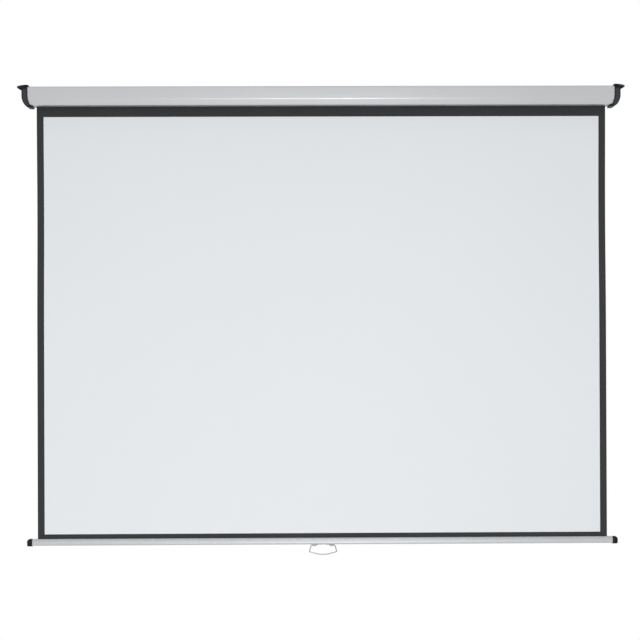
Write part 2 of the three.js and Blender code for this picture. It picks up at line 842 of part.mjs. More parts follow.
// The hollow in the lower half of the bar, or the plug that fills it
function chamberOutline(shrink) {
  const half = chamberWidth / 2 - shrink;
  const low = barBottom + chamberFloor + shrink;
  const high = barBottom + chamberFloor + chamberHeight - shrink;
  const radius = chamberRadius;
  const shape = new THREE.Shape();
  shape.absarc(sheetMid + half - radius, low + radius, radius, -Math.PI / 2, 0, false);
  shape.absarc(sheetMid + half - radius, high - radius, radius, 0, Math.PI / 2, false);
  shape.absarc(sheetMid - half + radius, high - radius, radius, Math.PI / 2, Math.PI, false);
  shape.absarc(sheetMid - half + radius, low + radius, radius, Math.PI, 1.5 * Math.PI, false);
  return shape;
}

function bottomBarGeometry() {
  const past = barEnd + cutOverrun;
  const body = alongX(barOutline(), -barEnd, barEnd);
  const channel = rodX(hemChannel, -past, past, sheetMid, rodLevel);
  const slot = block(
    [-past, sheetMid - barSlotWidth / 2, rodLevel],
    [past, sheetMid + barSlotWidth / 2, barTop + cutOverrun],
  );
  const chamber = alongX(chamberOutline(0), -past, past, chamberArcSteps);
  const holes = [-1, 1].map((side) => rodZ(
    rivetRadius + fitGap,
    side * rivetOffset,
    sheetMid,
    barBottom - cutOverrun,
    barBottom + chamberFloor + cutOverrun,
  ));
  return cut(body, channel, slot, chamber, ...holes);
}

// The bar's end cap: a rounded stopper with a plug that fills the bar's hollow
function barCapGeometry() {
  const end = barEnd + barCapLength;
  const low = barBottom - barCapProud;
  const outline = new THREE.Shape();
  outline.moveTo(barEnd, low);
  outline.lineTo(end - barCapFootRadius, low);
  outline.absarc(end - barCapFootRadius, low + barCapFootRadius, barCapFootRadius, -Math.PI / 2, 0, false);
  outline.lineTo(end, barTop - barCapTopRadius);
  outline.absarc(end - barCapTopRadius, barTop - barCapTopRadius, barCapTopRadius, 0, Math.PI / 2, false);
  outline.lineTo(barEnd, barTop);
  const reach = barBulgeHalfDepth + barCapProud + cutOverrun;
  const section = alongX(barOutline(barCapProud), barEnd, end + cutOverrun);
  const stopper = common(section, alongY(outline, sheetMid - reach, sheetMid + reach));
  const plug = alongX(chamberOutline(fitGap), barEnd - barCapPlug, barEnd + cutOverrun, chamberArcSteps);
  return join(stopper, plug);
}

// The stamped bracket under the bar, rolled into a knuckle at each end
function bracketGeometry() {
  const plate = block(
    [-knuckleOuter, sheetMid - bracketHalfWidth, barBottom - bracketPlate],
    [knuckleOuter, sheetMid + bracketHalfWidth, barBottom],
  );
  const knuckles = [-1, 1].map((side) => {
    const ends = [side * knuckleInner, side * knuckleOuter].sort((a, b) => a - b);
    return rodX(knuckleRadius, ends[0], ends[1], sheetMid, pivotLevel);
  });
  const holes = [-1, 1].map((side) => rodZ(
    rivetRadius + fitGap,
    side * rivetOffset,
    sheetMid,
    barBottom - bracketPlate - cutOverrun,
    barBottom + cutOverrun,
  ));
  const past = knuckleOuter + cutOverrun;
  const bore = rodX(wireRadius + fitGap, -past, past, sheetMid, pivotLevel);
  return cut(join(plate, ...knuckles), bore, ...holes);
}

// A blind rivet that holds the bracket to the bar
function rivetGeometry(side) {
  const seat = barBottom - bracketPlate;
  const tail = barBottom + chamberFloor + rivetTail;
  const profile = [
    [0, seat - rivetHeadHeight],
    [rivetHeadRadius * rivetDomeShare, seat - rivetHeadHeight],
    [rivetHeadRadius, seat - rivetHeadHeight * rivetRimShare],
    [rivetHeadRadius, seat],
    [rivetRadius, seat],
    [rivetRadius, tail],
    [0, tail],
  ];
  const geometry = new THREE.LatheGeometry(profile.map(([r, z]) => new THREE.Vector2(r, z)), roundSides);
  geometry.rotateX(Math.PI / 2);
  return geometry.translate(side * rivetOffset, sheetMid, 0);
}

// The handle's centre line: feet in the knuckles, splayed legs and a shallow grip
function handlePath() {
  const right = [
    [handleFootInner, 0],
    [handleShoulder, 0],
    [handleHalfWidth, -handleCornerDrop],
    [handleGripHalf, -handleGripDrop],
  ];
  const left = right.map(([x, z]) => [-x, z]);
  const corners = [...left, ...right.reverse()];
  return bentPath(corners.map(([x, z]) => new THREE.Vector3(x, sheetMid, pivotLevel + z)), handleBend);
}

// A path of straight runs with a smooth bend at each inner corner
function bentPath(points, bend) {
  const path = new THREE.CurvePath();
  let start = points[0];
  for (let index = 1; index < points.length - 1; index += 1) {
    const corner = points[index];
    const before = corner.clone().lerp(points[index - 1], bend / corner.distanceTo(points[index - 1]));
    const after = corner.clone().lerp(points[index + 1], bend / corner.distanceTo(points[index + 1]));
    path.add(new THREE.LineCurve3(start, before));
    path.add(new THREE.QuadraticBezierCurve3(before, corner, after));
    start = after;
  }
  path.add(new THREE.LineCurve3(start, points[points.length - 1]));
  return path;
}

function handleGeometry() {
  const section = new THREE.Shape();
  section.absarc(0, 0, wireRadius, 0, 2 * Math.PI, false);
  return new THREE.ExtrudeGeometry(section, {
    steps: handleSteps,
    curveSegments: handleSides / 2,
    bevelEnabled: false,
    extrudePath: handlePath(),
  });
}

const screen = new THREE.Group();

function addPiece(name, geometry, finish) {
  const mesh = new THREE.Mesh(geometry, new THREE.MeshStandardMaterial(finish));
  mesh.name = name;
  screen.add(mesh);
}

function addHousing() {
  addPiece('housing_profile', housingGeometry(), anodised);
  addPiece('end_cap_right', endCapGeometry(spindleSocket()), capPlastic);
  addPiece('end_cap_left', mirrored(endCapGeometry(bushSocket())), capPlastic);
  for (const place of screwPlaces) {
    const screw = capScrewGeometry(place);
    addPiece(`cap_screw_right_${place.name}`, screw, steel);
    addPiece(`cap_screw_left_${place.name}`, mirrored(screw), steel);
  }
}

function addRoller() {
  const tube = sleeveX(tubeRadius, tubeRadius - tubeWall, -tubeEnd, tubeEnd, -axisDepth, 0, tubeSides);
  addPiece('roller_tube', tube, steel);
  addPiece('roller_plug_left', mirrored(plugGeometry(0, idlerPinRadius + fitGap)), nylon);
  const pinEnd = innerWall - fitGap;
  const pin = rodX(idlerPinRadius, tubeEnd - idlerPinSeat, pinEnd, -axisDepth, 0);
  addPiece('idler_pin', mirrored(pin), steel);
  const bore = idlerPinRadius + fitGap;
  const bush = sleeveX(bore + bushWall, bore, bossStart + bushInset, innerWall - fitGap, -axisDepth, 0);
  addPiece('idler_bush', mirrored(bush), nylon);
  addPiece('cloth_wraps', wrapsGeometry(), whiteSheet);
}

function addSpringMotor() {
  addPiece('roller_plug_right', motorPlugGeometry(), nylon);
  addPiece('spring_spindle', spindleGeometry(), steel);
  addPiece('ratchet_hub', ratchetHubGeometry(), steel);
  addPiece('spindle_clip', spindleClipGeometry(), springSteel);
  addPiece('spring_anchor', anchorGeometry(), nylon);
  addPiece('torsion_spring', springGeometry(), springSteel);
  const centreBush = sleeveX(
    tubeRadius - tubeWall - fitGap,
    spindleRadius + fitGap,
    anchorLeft - fitGap - centreBushLength,
    anchorLeft - fitGap,
    -axisDepth,
    0,
    tubeSides,
  );
  addPiece('centre_bush', centreBush, nylon);
  for (const [name, turn] of Object.entries(pawlTurns)) {
    addPiece(`pawl_${name}`, pawlGeometry(turn), steel);
    addPiece(`pawl_pin_${name}`, pawlPinGeometry(turn), steel);
  }
}

function addScreen() {
  addPiece('screen_cloth', sheetGeometry(), whiteSheet);
  addPiece('mask_border', borderGeometry(), blackFilm);
  addPiece('bottom_bar', bottomBarGeometry(), anodised);
  const rodEnd = sheetWidth / 2 - rodEndRoom;
  addPiece('hem_rod', rodX(rodRadius, -rodEnd, rodEnd, sheetMid, rodLevel), steel);
  addPiece('bar_end_cap_right', barCapGeometry(), capPlastic);
  addPiece('bar_end_cap_left', mirrored(barCapGeometry()), capPlastic);
}

function addHandle() {
  addPiece('handle_bracket', bracketGeometry(), zincPlate);
  addPiece('handle_rivet_right', rivetGeometry(1), zincPlate);
  addPiece('handle_rivet_left', rivetGeometry(-1), zincPlate);
  addPiece('pull_handle', handleGeometry(), zincPlate);
}

addHousing();
addRoller();
addSpringMotor();
addScreen();
addHandle();

console.log(`least gap between the spring's curls: ${springGap().toFixed(2)} mm`);

export default screen;
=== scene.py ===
"""Looks of a pull-down projection screen: housing, roller, cloth, bottom bar and pull handle.

Metres. X runs along the housing, -Y faces the viewer, +Z is up. The origin is on the wall
plane, level with the roller's axis, halfway along the housing.
"""

import logging
import math
from collections.abc import Iterable, Sequence
from dataclasses import dataclass, field
from enum import Enum

import bmesh
import bpy
from bmesh.types import BMEdge, BMFace, BMVert, BMesh
from bpy.types import ID, Material, NodeSocket, NodeTree, Object
from mathutils import Matrix, Vector


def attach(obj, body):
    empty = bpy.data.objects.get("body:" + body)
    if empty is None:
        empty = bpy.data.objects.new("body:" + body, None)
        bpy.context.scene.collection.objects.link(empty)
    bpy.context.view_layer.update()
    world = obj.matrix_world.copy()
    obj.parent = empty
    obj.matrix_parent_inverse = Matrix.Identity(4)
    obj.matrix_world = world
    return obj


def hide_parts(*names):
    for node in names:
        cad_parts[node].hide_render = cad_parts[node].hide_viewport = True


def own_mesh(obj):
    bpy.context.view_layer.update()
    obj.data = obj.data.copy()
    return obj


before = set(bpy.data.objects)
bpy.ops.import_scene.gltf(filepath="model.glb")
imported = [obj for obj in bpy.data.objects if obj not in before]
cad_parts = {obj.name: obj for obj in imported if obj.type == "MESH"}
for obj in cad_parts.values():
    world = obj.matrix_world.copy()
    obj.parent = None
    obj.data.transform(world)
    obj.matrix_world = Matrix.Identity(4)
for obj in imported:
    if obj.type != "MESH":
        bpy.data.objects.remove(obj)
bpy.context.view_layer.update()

log = logging.getLogger("projection_screen")

MM = 0.001
AXIS_DEPTH = 29 * MM
SHEET_MID = 10 * MM
BAR_TOP = -1162 * MM
Triple = tuple[float, float, float]


class Body(Enum):
    """The bodies that pieces ride on."""

    CASE = "case"
    ROLLER = "roller"
    BAR = "bar"
    HANDLE = "handle"


class Side(Enum):
    """The two ends of the screen, with the sign of their X."""

    LEFT = -1
    RIGHT = 1

    @property
    def label(self) -> str:
        """The side as the nodes' names spell it."""
        return self.name.lower()


# ---------------- materials


class Node(str, Enum):
    """Short names of the shader nodes in use."""

    NOISE = "ShaderNodeTexNoise"
    WAVE = "ShaderNodeTexWave"
    COORDINATES = "ShaderNodeTexCoord"
    MAPPING = "ShaderNodeMapping"
    MIX = "ShaderNodeMix"
    MATH = "ShaderNodeMath"
    RANGE = "ShaderNodeMapRange"
    BUMP = "ShaderNodeBump"
    PRINCIPLED = "ShaderNodeBsdfPrincipled"
    DIFFUSE = "ShaderNodeBsdfDiffuse"
    TRANSPARENT = "ShaderNodeBsdfTransparent"
    EMISSION = "ShaderNodeEmission"
    BACKGROUND = "ShaderNodeBackground"
    MIX_SHADER = "ShaderNodeMixShader"
    LIGHT_PATH = "ShaderNodeLightPath"
    GEOMETRY = "ShaderNodeNewGeometry"
    GROUP = "ShaderNodeGroup"
    GROUP_IN = "NodeGroupInput"
    GROUP_OUT = "NodeGroupOutput"
    MATERIAL_OUT = "ShaderNodeOutputMaterial"
    WORLD_OUT = "ShaderNodeOutputWorld"


class Socket(str, Enum):
    """Kinds of socket that a shader group has."""

    NUMBER = "NodeSocketFloat"
    VECTOR = "NodeSocketVector"
    COLOUR = "NodeSocketColor"


class Graph:
    """A node tree with short calls for adding and linking nodes.

    A mix node's colour sockets go by number, because their names repeat.
    """

    MIX_FIRST = 6
    MIX_SECOND = 7
    MIX_RESULT = 2

    def __init__(self, tree: NodeTree) -> None:
        """Takes the tree of a material, a world or a shader group, and empties it."""
        self.tree = tree
        tree.nodes.clear()

    def add(
        self, kind: Node, settings: dict | None = None, *numbered: object, **named: object
    ) -> bpy.types.Node:
        """Adds a node.

        Args:
            kind: The node's type.
            settings: Properties of the node, such as a mode.
            *numbered: What goes into its first inputs.
            **named: What goes into its named inputs, with spaces written as underscores.

        Returns:
            The new node.
        """
        node = self.tree.nodes.new(kind)
        for name, value in (settings or {}).items():
            setattr(node, name, value)
        for number, value in enumerate(numbered):
            self.feed(node, number, value)
        for name, value in named.items():
            self.feed(node, name.replace("_", " "), value)
        return node

    def feed(self, node: bpy.types.Node, name: str | int, value: object) -> None:
        """Links something to an input, or sets the input's own value.

        Args:
            node: The node that takes the value.
            name: The input's name or number.
            value: A node, which gives its first output, a socket, a number, a vector or a colour.
        """
        socket = node.inputs[name]
        if isinstance(value, bpy.types.Node):
            value = value.outputs[0]
        if isinstance(value, NodeSocket):
            self.tree.links.new(value, socket)
        elif isinstance(value, tuple) and len(value) == 3 and socket.type == "RGBA":
            socket.default_value = (*value, 1.0)
        else:
            socket.default_value = value

    def math(self, operation: str, *values: object) -> bpy.types.Node:
        """Adds a sum on numbers."""
        return self.add(Node.MATH, {"operation": operation}, *values)


def shader_group(
    name: str, inputs: Sequence[tuple[str, Socket, object]], output: str = "Height",
    kind: Socket = Socket.NUMBER,
) -> tuple[Graph, bpy.types.NodeOutputs, NodeSocket]:
    """Starts a shader group with named sockets.

    Args:
        name: The group's name.
        inputs: Name, kind and starting value of each input.
        output: The name of the first output; the second is always a mask.
        kind: The first output's kind.

    Returns:
        The group's graph, what comes in, and the place on the object that is shaded.
    """
    tree = bpy.data.node_groups.new(name, "ShaderNodeTree")
    for label, kind_in, start in inputs:
        socket = tree.interface.new_socket(name=label, in_out="INPUT", socket_type=kind_in)
        socket.default_value = start
    for label, kind_out in ((output, kind), ("Mask", Socket.NUMBER)):
        tree.interface.new_socket(name=label, in_out="OUTPUT", socket_type=kind_out)
    graph = Graph(tree)
    source = graph.add(Node.GROUP_IN).outputs
    return graph, source, graph.add(Node.COORDINATES).outputs["Object"]


class Effects:
    """Surface effects that several finishes share, each built once as a shader group."""

    SPECK_SHARE = 0.35
    THREAD_SHARE = 0.5

    def __init__(self) -> None:
        """Builds the groups."""
        self.grain = self._grain()
        self.drift = self._drift()
        self.weave = self._weave()

    def _grain(self) -> NodeTree:
        """Makes a fine noise that can be drawn out along X, such as a drawn or moulded surface.

        Returns:
            A group with a height and a mask from 0 to 1.
        """
        graph, source, place = shader_group(
            "surface_grain",
            [
                ("Pitch", Socket.NUMBER, 400.0),
                ("Draw", Socket.VECTOR, (1.0, 1.0, 1.0)),
                ("Detail", Socket.NUMBER, 3.0),
            ],
        )
        drawn = graph.add(Node.MAPPING, Vector=place, Scale=source["Draw"])
        noise = graph.add(
            Node.NOISE, Vector=drawn, Scale=source["Pitch"], Detail=source["Detail"]
        )
        clear = graph.add(Node.RANGE, Value=noise, From_Min=0.3, From_Max=0.7)
        graph.add(Node.GROUP_OUT, Height=noise, Mask=clear)
        return graph.tree

    def _drift(self) -> NodeTree:
        """Makes a slow change of colour over a surface, with a few finer specks.

        Returns:
            A group with a colour and a mask from 0 to 1.
        """
        graph, source, place = shader_group(
            "colour_drift",
            [
                ("Light", Socket.COLOUR, (1, 1, 1, 1)),
                ("Dark", Socket.COLOUR, (0, 0, 0, 1)),
                ("Patch", Socket.NUMBER, 6.0),
                ("Specks", Socket.NUMBER, 700.0),
            ],
            "Colour",
            Socket.COLOUR,
        )
        broad = graph.add(Node.NOISE, Vector=place, Scale=source["Patch"], Detail=2.0)
        fine = graph.add(Node.NOISE, Vector=place, Scale=source["Specks"], Detail=1.0)
        both = graph.math("MULTIPLY_ADD", fine, self.SPECK_SHARE, broad)
        clear = graph.add(Node.RANGE, Value=both, From_Min=0.4, From_Max=0.95)
        colour = graph.add(Node.MIX, {"data_type": "RGBA"}, clear)
        graph.feed(colour, Graph.MIX_FIRST, source["Light"])
        graph.feed(colour, Graph.MIX_SECOND, source["Dark"])
        graph.add(Node.GROUP_OUT, Colour=colour.outputs[Graph.MIX_RESULT], Mask=clear)
        return graph.tree

    def _weave(self) -> NodeTree:
        """Makes the crossing threads of a coated cloth.

        Returns:
            A group with a height and a mask from 0 to 1.
        """
        graph, source, place = shader_group(
            "coated_weave",
            [("Threads", Socket.NUMBER, 320.0), ("Coating", Socket.NUMBER, 900.0)],
        )
        waves = [
            graph.add(
                Node.WAVE, {"bands_direction": direction}, Vector=place,
                Scale=source["Threads"], Distortion=1.2, Detail=1.0,
            ).outputs["Fac"]
            for direction in ("X", "Z")
        ]
        threads = graph.math("MULTIPLY", *waves)
        coating = graph.add(Node.NOISE, Vector=place, Scale=source["Coating"], Detail=2.0)
        both = graph.math("MULTIPLY_ADD", threads, self.THREAD_SHARE, coating)
        graph.add(Node.GROUP_OUT, Height=both, Mask=coating)
        return graph.tree


@dataclass(frozen=True)
class Finish:
    """A finish whose colour drifts slowly and whose surface has a fine grain."""

    name: str
    light: Triple
    dark: Triple
    smooth: float
    rough: float
    metallic: float = 0.0
    specular: float = 0.5
    patch: float = 6.0
    pitch: float = 500.0
    draw: Triple = (1.0, 1.0, 1.0)
    relief: float = 0.02 * MM
    woven: bool = False
    bump_strength: float = 0.6

    def material(self, effects: Effects) -> Material:
        """Builds the finish's material.

        Args:
            effects: The shared shader groups.

        Returns:
            The material.
        """
        made = bpy.data.materials.new(self.name)
        made.use_nodes = True
        graph = Graph(made.node_tree)
        drift = graph.add(
            Node.GROUP, {"node_tree": effects.drift}, Light=self.light, Dark=self.dark,
            Patch=self.patch,
        )
        if self.woven:
            grain = graph.add(Node.GROUP, {"node_tree": effects.weave}, Threads=self.pitch)
        else:
            grain = graph.add(
                Node.GROUP, {"node_tree": effects.grain}, Pitch=self.pitch, Draw=self.draw
            )
        bump = graph.add(
            Node.BUMP, Height=grain, Strength=self.bump_strength, Distance=self.relief
        )
        mask = grain.outputs["Mask"]
        gloss = graph.add(Node.RANGE, Value=mask, To_Min=self.smooth, To_Max=self.rough)
        shader = graph.add(
            Node.PRINCIPLED,
            Base_Color=drift,
            Roughness=gloss,
            Metallic=self.metallic,
            Specular_IOR_Level=self.specular,
            Normal=bump,
        )
        graph.add(Node.MATERIAL_OUT, Surface=shader)
        return made


DRAWN = (0.012, 1.0, 1.0)
ANODISED = Finish(
    "anodised_aluminium", (0.55, 0.56, 0.572), (0.52, 0.53, 0.54), 0.3, 0.42,
    metallic=0.45, patch=2.5, pitch=900.0, draw=DRAWN, relief=0.012 * MM,
)
BAR_ALUMINIUM = Finish(
    "bar_aluminium", (0.5, 0.51, 0.522), (0.474, 0.484, 0.493), 0.24, 0.32,
    metallic=0.31, patch=2.5, pitch=900.0, draw=DRAWN, relief=0.004 * MM,
)
CAP_FIELD = Finish(
    "cap_plastic_textured", (0.032, 0.033, 0.041), (0.025, 0.026, 0.033), 0.6, 0.8,
    specular=0.35, pitch=1400.0, relief=0.05 * MM,
)
# Darker than CAP_FIELD: painted shade on the caps' rims, sides and flanges; also the stoppers' own
# black.
CAP_RIM_SHADE_AND_RUBBER = Finish(
    "cap_plastic_rim_shade_and_rubber", (0.013, 0.013, 0.016), (0.01, 0.01, 0.013), 0.5, 0.62,
    specular=0.14, pitch=900.0,
)
STEEL = Finish(
    "plain_steel", (0.42, 0.42, 0.43), (0.33, 0.33, 0.34), 0.28, 0.5,
    metallic=1.0, pitch=700.0, draw=(0.05, 1.0, 1.0),
)
SPRING_STEEL = Finish(
    "spring_steel", (0.2, 0.2, 0.21), (0.13, 0.13, 0.135), 0.3, 0.5,
    metallic=1.0, pitch=900.0,
)
NYLON = Finish("nylon", (0.68, 0.65, 0.56), (0.6, 0.57, 0.49), 0.4, 0.55)
WHITE_CLOTH = Finish(
    "white_cloth", (0.758, 0.778, 0.797), (0.748, 0.768, 0.787), 0.88, 0.98,
    specular=0.25, patch=1.6, pitch=330.0, relief=0.03 * MM, woven=True,
)
BLACK_BORDER = Finish(
    "black_border", (0.0282, 0.0286, 0.0306), (0.0234, 0.0239, 0.0258), 0.68, 0.82,
    specular=0.35, pitch=330.0, relief=0.04 * MM, woven=True,
)
ZINC = Finish(
    "zinc_plate", (0.36, 0.365, 0.375), (0.26, 0.265, 0.275), 0.2, 0.36,
    metallic=1.0, patch=90.0, pitch=1500.0,
)


class Wardrobe:
    """All the materials, made once."""

    def __init__(self) -> None:
        """Makes the shared effects and every material."""
        effects = Effects()
        self.aluminium = ANODISED.material(effects)
        self.bar_aluminium = BAR_ALUMINIUM.material(effects)
        self.cap_field = CAP_FIELD.material(effects)
        # Painted shade on the caps' rims, and the black stoppers' own colour.
        self.cap_rim = CAP_RIM_SHADE_AND_RUBBER.material(effects)
        self.steel = STEEL.material(effects)
        self.spring_steel = SPRING_STEEL.material(effects)
        self.nylon = NYLON.material(effects)
        self.white_cloth = WHITE_CLOTH.material(effects)
        self.black_border = BLACK_BORDER.material(effects)
        self.zinc = ZINC.material(effects)


# ---------------- mesh helpers


def only(kind: type, parts: Iterable[object]) -> list:
    """Picks the vertices, the edges or the faces out of an operator's result."""
    return [part for part in parts if isinstance(part, kind)]


def linked(verts: Iterable[BMVert]) -> list[BMEdge]:
    """Lists the edges that meet some vertices, each once."""
    return list(dict.fromkeys(edge for vert in verts for edge in vert.link_edges))


def wire_path(
    bm: BMesh, points: Sequence[Vector], closed: bool = False
) -> tuple[list[BMVert], list[BMEdge]]:
    """Draws a wire through a few corner points.

    Args:
        bm: The mesh.
        points: The corners, in order.
        closed: Whether the last corner joins the first.

    Returns:
        The corners and the edges between them.
    """
    verts = [bm.verts.new(point) for point in points]
    pairs = list(zip(verts, verts[1:] + verts[:1] if closed else verts[1:]))
    return verts, [bm.edges.new(pair) for pair in pairs]


def rounded_wire(
    bm: BMesh, corners: Sequence[tuple[Vector, float]], steps: int, closed: bool = False
) -> None:
    """Draws a wire through corner points and rounds those that have a radius.

    Args:
        bm: The mesh.
        corners: Each corner's point and radius, which is 0 for a sharp one.
        steps: How many segments each arc has.
        closed: Whether the last corner joins the first.
    """
    verts, _ = wire_path(bm, [point for point, _ in corners], closed)
    for corner, (_, radius) in zip(verts, corners):
        if radius <= 0:
            continue
        first, second = (edge.other_vert(corner).co - corner.co for edge in corner.link_edges)
        turn = math.pi - first.angle(second)
        bmesh.ops.bevel(
            bm, geom=[corner], offset=radius * math.tan(turn / 2), offset_type="OFFSET",
            segments=steps, profile=0.5, affect="VERTICES", material=-1,
        )


def circle_across(bm: BMesh, centre: Vector, radius: float, segments: int) -> list[BMVert]:
    """Draws a circle that X runs through.

    Args:
        bm: The mesh.
        centre: The circle's middle.
        radius: Its radius.
        segments: How many edges it has.

    Returns:
        Its vertices.
    """
    place = Matrix.Translation(centre) @ Matrix.Rotation(math.pi / 2, 4, "Y")
    made = bmesh.ops.create_circle(bm, segments=segments, radius=radius, matrix=place)
    return made["verts"]


def walled(bm: BMesh, faces: Sequence[BMFace], wall: float, middle: Vector) -> None:
    """Gives an open strip its wall, from the drawn face inwards.

    Args:
        bm: The mesh.
        faces: The strip's faces.
        wall: The wall's thickness.
        middle: A point inside the strip's bend, which the wall grows towards.
    """
    bmesh.ops.recalc_face_normals(bm, faces=faces)
    outward = sum(face.normal.dot(face.calc_center_median() - middle) for face in faces)
    if outward < 0:
        bmesh.ops.reverse_faces(bm, faces=faces)
    bmesh.ops.solidify(bm, geom=list(faces), thickness=wall)


def pulled(bm: BMesh, edges: list[BMEdge], length: float, wall: float, middle: Vector) -> None:
    """Extrudes a wire along X and gives the strip its wall.

    Args:
        bm: The mesh.
        edges: The wire's edges.
        length: How far the strip reaches.
        wall: The wall's thickness.
        middle: A point inside the wire's bend, which the wall grows towards.
    """
    made = bmesh.ops.extrude_edge_only(bm, edges=edges)["geom"]
    bmesh.ops.translate(bm, verts=only(BMVert, made), vec=Vector((length, 0, 0)))
    walled(bm, only(BMFace, made), wall, middle)


def turned(
    bm: BMesh, profile: Sequence[Vector], centre: Vector, axis: Vector, steps: int = 28
) -> None:
    """Turns a profile all round an axis.

    Args:
        bm: The mesh.
        profile: The profile's corners, from one end to the other.
        centre: A point on the axis.
        axis: The axis' direction.
        steps: How many steps the turn has.
    """
    before = set(bm.verts)
    verts, edges = wire_path(bm, profile)
    bmesh.ops.spin(
        bm, geom=verts + edges, cent=centre, axis=axis, dvec=Vector(), angle=2 * math.pi,
        steps=steps, use_merge=True, use_duplicate=False,
    )
    made = [vert for vert in bm.verts if vert not in before]
    bmesh.ops.remove_doubles(bm, verts=made, dist=0.002 * MM)


def softened(bm: BMesh, width: float, angle: float = 0.6, steps: int = 2) -> None:
    """Bevels every edge that is sharper than an angle.

    Args:
        bm: The mesh.
        width: The bevel's width.
        angle: The least angle between the faces, in radians.
        steps: How many segments the bevel has.
    """
    sharp = [
        edge for edge in bm.edges
        if len(edge.link_faces) == 2 and edge.calc_face_angle(0.0) > angle
    ]
    bmesh.ops.bevel(
        bm, geom=sharp, offset=width, offset_type="OFFSET", segments=steps, profile=0.5,
        affect="EDGES", clamp_overlap=True, material=-1,
    )


def evened(
    bm: BMesh, lowest: float = -math.inf, least: float = 0.08, most: float = 0.36
) -> None:
    """Cuts the edges between the facets of curved walls, so that the curves run smoothly.

    Args:
        bm: The mesh.
        lowest: The level under which edges are left alone.
        least: The least angle between two facets, in radians.
        most: The greatest one; sharper edges are left alone.
    """
    facets = [
        edge for edge in bm.edges
        if len(edge.link_faces) == 2 and least < edge.calc_face_angle(0.0) < most
        and (edge.verts[0].co.z + edge.verts[1].co.z) / 2 > lowest
    ]
    third = 33
    bmesh.ops.bevel(
        bm, geom=facets, offset=third, offset_type="PERCENT", segments=2, profile=0.5,
        affect="EDGES", clamp_overlap=True, material=-1,
    )


def placed(name: str, data: ID) -> Object:
    """Makes an object and puts it in the scene.

    Args:
        name: The object's name.
        data: Its mesh, lamp or camera.

    Returns:
        The object.
    """
    made = bpy.data.objects.new(name, data)
    bpy.context.scene.collection.objects.link(made)
    return made


def finished(
    name: str, bm: BMesh, body: Body, materials: Sequence[Material],
    replaced: Sequence[str] = (), *, smooth_under: float = 35.0, outward: bool = True,
) -> Object:
    """Turns a bmesh into a piece that rides on a body.

    Args:
        name: The piece's name.
        bm: The mesh, which is freed.
        body: The body that the piece moves with.
        materials: The materials of the faces' material numbers.
        replaced: The CAD nodes that the piece stands for.
        smooth_under: Edges flatter than this many degrees are shaded smooth.
        outward: Whether to turn the faces outwards.

    Returns:
        The piece.
    """
    if outward:
        bmesh.ops.recalc_face_normals(bm, faces=bm.faces)
    mesh = bpy.data.meshes.new(name)
    bm.to_mesh(mesh)
    bm.free()
    for material in materials:
        mesh.materials.append(material)
    mesh.shade_smooth()
    mesh.set_sharp_from_angle(angle=math.radians(smooth_under))
    piece = placed(name, mesh)
    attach(piece, body.value)
    if replaced:
        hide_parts(*replaced)
    log.info("%s: %d faces on %s", name, len(mesh.polygons), body.value)
    return piece


def copied(node: str) -> BMesh:
    """Copies a CAD node's mesh, with its loose triangles merged into flat faces.

    Args:
        node: The node's name.

    Returns:
        The merged copy.
    """
    bm = bmesh.new()
    bm.from_mesh(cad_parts[node].data)
    bmesh.ops.remove_doubles(bm, verts=bm.verts, dist=0.004 * MM)
    bmesh.ops.dissolve_limit(
        bm, angle_limit=0.01, verts=bm.verts, edges=bm.edges, use_dissolve_boundaries=False
    )
    return bm


def dressed(nodes: Iterable[str], material: Material) -> None:
    """Gives CAD nodes that stay in view their material.

    Args:
        nodes: The nodes' names.
        material: The material.
    """
    for name in nodes:
        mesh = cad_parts[name].data
        mesh.materials.clear()
        mesh.materials.append(material)
        log.info("%s: dressed with %s", name, material.name)


# ---------------- the screen's parts


@dataclass
class Housing:
    """The aluminium extrusion: a shell with a cloth slot and two screw channels.

    A channel is given as its y, its z and its outer radius, in millimetres.
    """

    length: float = 1537 * MM
    depth: float = 53 * MM
    top: float = 23.2 * MM
    bottom: float = -25.8 * MM
    crease: float = -10 * MM
    slant: float = 6.8 * MM
    wall: float = 1.2 * MM
    top_radius: float = 5 * MM
    crease_radius: float = 6.5 * MM
    foot_radius: float = 3.4 * MM
    edge: float = 0.35 * MM
    slot_front: float = 18 * MM
    slot_back: float = 3.5 * MM
    slot_lip: float = 4 * MM
    channel_hole: float = 1.7 * MM
    channels: tuple[Triple, ...] = ((-48.0, 18.2, 4.0), (-4.6, 18.6, 3.6))

    def shell(self) -> BMesh:
        """Draws the section's outer line, rounds it and pulls it into a walled shell.

        Returns:
            The shell.
        """
        bm = bmesh.new()
        left = -self.length / 2
        corners = [
            (-self.slot_back, self.bottom, 0.0), (0.0, self.bottom, 0.0), (0.0, self.top, 0.0),
            (-self.depth, self.top, self.top_radius),
            (-self.depth, self.crease, self.crease_radius),
            (-self.depth + self.slant, self.bottom, self.foot_radius),
            (-self.slot_front, self.bottom, 0.0),
            (-self.slot_front, self.bottom + self.slot_lip, 0.0),
        ]
        line = [(Vector((left, y, z)), radius) for y, z, radius in corners]
        rounded_wire(bm, line, steps=8)
        pulled(bm, bm.edges[:], self.length, self.wall, Vector((0, -self.depth / 2, 0)))
        softened(bm, self.edge, angle=1.0)
        return bm

    def add_channels(self, bm: BMesh) -> None:
        """Adds the open round channels that the cap screws bite into.

        Args:
            bm: The mesh that takes them.
        """
        for y, z, radius in self.channels:
            middle = Vector((-self.length / 2, y * MM, z * MM))
            ring = circle_across(bm, middle, radius * MM, segments=20)
            lowest = min(ring, key=lambda vert: vert.co.z)
            ring.remove(lowest)
            bmesh.ops.delete(bm, geom=[lowest], context="VERTS")
            wall = radius * MM - self.channel_hole
            pulled(bm, linked(ring), self.length, wall, Vector((0, *middle.yz)))

    def build(self, aluminium: Material) -> None:
        """Makes the housing's piece.

        Args:
            aluminium: Its material.
        """
        bm = self.shell()
        self.add_channels(bm)
        finished(
            "housing_shell", bm, Body.CASE, [aluminium], ["housing_profile"]
        )


